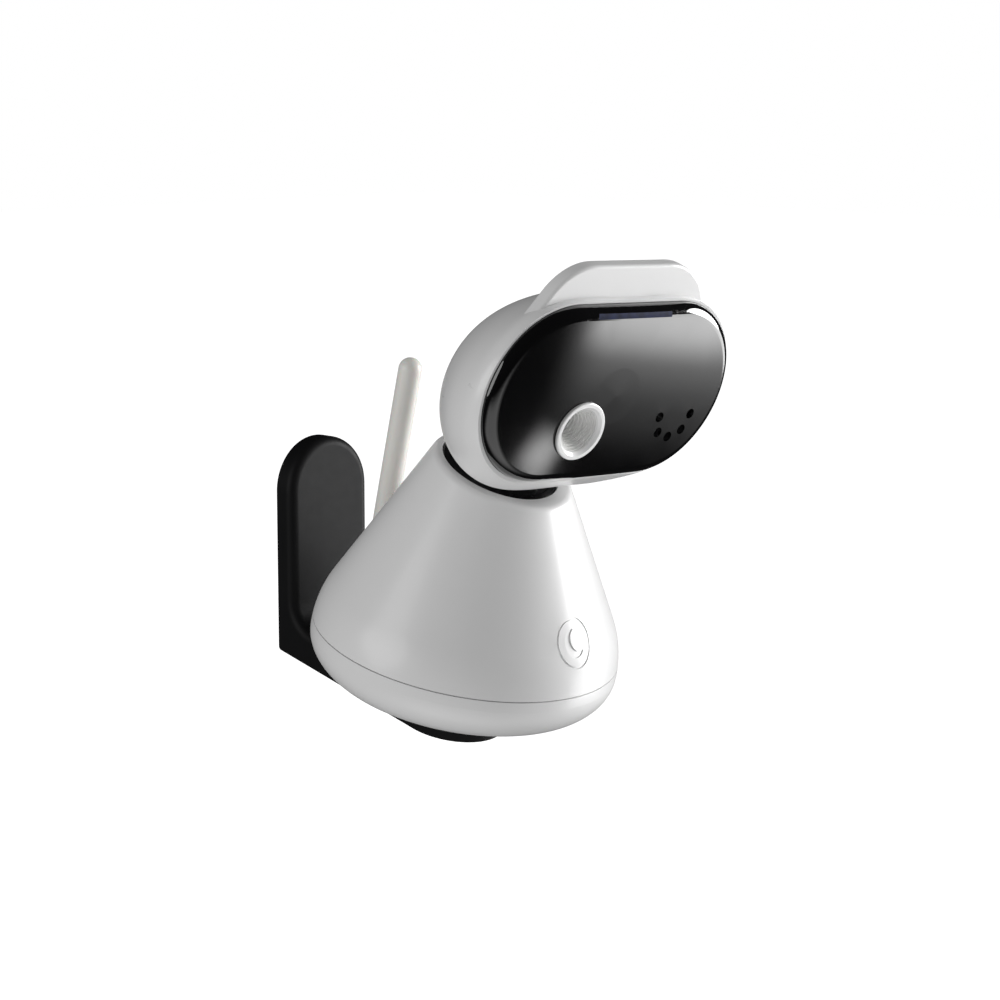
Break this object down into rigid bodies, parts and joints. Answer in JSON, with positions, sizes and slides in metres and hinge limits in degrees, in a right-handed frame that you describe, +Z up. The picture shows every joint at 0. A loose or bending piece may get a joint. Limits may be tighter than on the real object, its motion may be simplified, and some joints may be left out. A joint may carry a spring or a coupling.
{
  "type": "baby monitor camera",
  "caption": "Cone-bodied baby monitor camera on an L-shaped wall bracket, with a pan and tilt oval head, hooded glossy face, lens and folding antenna.",
  "frame": {"origin": "On the wall, in the middle of the bracket's flat back face", "axes": "+Z up the wall, +Y into the wall, +X to the right seen from in front of the camera looking at the wall; the camera faces -Y"},
  "size_m": [0.0904, 0.1289, 0.1389],
  "materials": {
    "black_matte": "fine matte",
    "white_gloss": "smooth gloss",
    "white_satin": "satin",
    "warm_white": "satin",
    "panel_black": "high gloss",
    "neck_black": "satin",
    "rubber_black": "matte",
    "steel": "zinc plated",
    "brass_part": "machined",
    "cast_weight": "as cast",
    "board_green": "solder mask",
    "inner_grey": "moulded",
    "gear_white": "moulded acetal",
    "led_clear": "clear epoxy",
    "lens_glass": "coated glass",
    "light_blue": "smoked light guide",
    "ring_white": "gloss"
  },
  "bodies": {
    "base": {"wall_bracket": "black_matte", "mount_screw": "steel", "threaded_insert": "brass_part", "base_pad": "rubber_black", "base_feet": "rubber_black", "base_cover": "white_gloss", "base_screws": "steel", "ballast": "cast_weight", "body_shell": "white_gloss", "main_board": "board_green", "board_screws": "steel", "usb_socket": "steel", "power_switch": "inner_grey", "pair_switch": "inner_grey", "neck_bearing": "gear_white", "motor_bracket": "steel", "motor_screws": "steel", "pan_motor": "steel", "antenna_socket": "white_satin", "antenna_pin": "steel"},
    "slider": {"power_slider": "black_matte"},
    "button": {"pair_button": "white_satin"},
    "turntable": {"neck_turntable": "neck_black", "pan_gear": "gear_white", "retaining_ring": "steel", "yoke": "neck_black", "yoke_screws": "steel", "tilt_gear": "gear_white"},
    "pan_drive": {"pan_pinion": "gear_white"},
    "head": {"tilt_motor": "steel", "tilt_bushings": "gear_white", "head_rear_shell": "white_gloss", "head_front_shell": "white_gloss", "face_panel": "panel_black", "lens_ring": "ring_white", "lens_baffle": "white_satin", "lens_barrel": "inner_grey", "lens_glass": "lens_glass", "camera_board": "board_green", "ir_leds": "led_clear", "light_board": "board_green", "status_light": "light_blue", "speaker": "inner_grey", "microphone": "steel", "head_screws": "steel", "screw_caps": "white_gloss"},
    "tilt_drive": {"tilt_pinion": "gear_white"},
    "antenna": {"antenna": "warm_white"}
  },
  "joints": [
    {"name": "head_pan", "type": "hinge", "parent": "base", "child": "turntable", "pos_m": [0, -0.07635, 0.02981], "axis": [0, -0.4446, 0.8957], "range_deg": [-150, 150]},
    {"name": "head_tilt", "type": "hinge", "parent": "turntable", "child": "head", "pos_m": [-0.00043, -0.09428, 0.05351], "axis": [0.9969, -0.0703, -0.0349], "range_deg": [-25, 18]},
    {"name": "pan_motor_spin", "type": "hinge", "parent": "base", "child": "pan_drive", "pos_m": [0, -0.08606, 0.01159], "axis": [0, -0.4446, 0.8957], "range_deg": [-455, 455]},
    {"name": "tilt_motor_spin", "type": "hinge", "parent": "head", "child": "tilt_drive", "pos_m": [0.011, -0.09494, 0.06632], "axis": [0.9969, -0.0703, -0.0349], "range_deg": [-60, 60]},
    {"name": "antenna_fold", "type": "hinge", "parent": "base", "child": "antenna", "pos_m": [0, -0.02642, -0.00485], "axis": [-1, 0, 0], "range_deg": [0, 35]},
    {"name": "power_slide", "type": "slide", "parent": "base", "child": "slider", "axis": [-0.866, 0.4858, 0.1184], "range_m": [0, 0.003]},
    {"name": "pair_press", "type": "slide", "parent": "base", "child": "button", "axis": [0.309, -0.924, -0.2252], "range_m": [0, 0.0008], "stiffness_N_per_m": 400, "springref_m": -0.0002}
  ],
  "couplings": [
    {"joint": "pan_motor_spin", "follows": "head_pan", "ratio": -3},
    {"joint": "tilt_motor_spin", "follows": "head_tilt", "ratio": 2.1429}
  ]
}
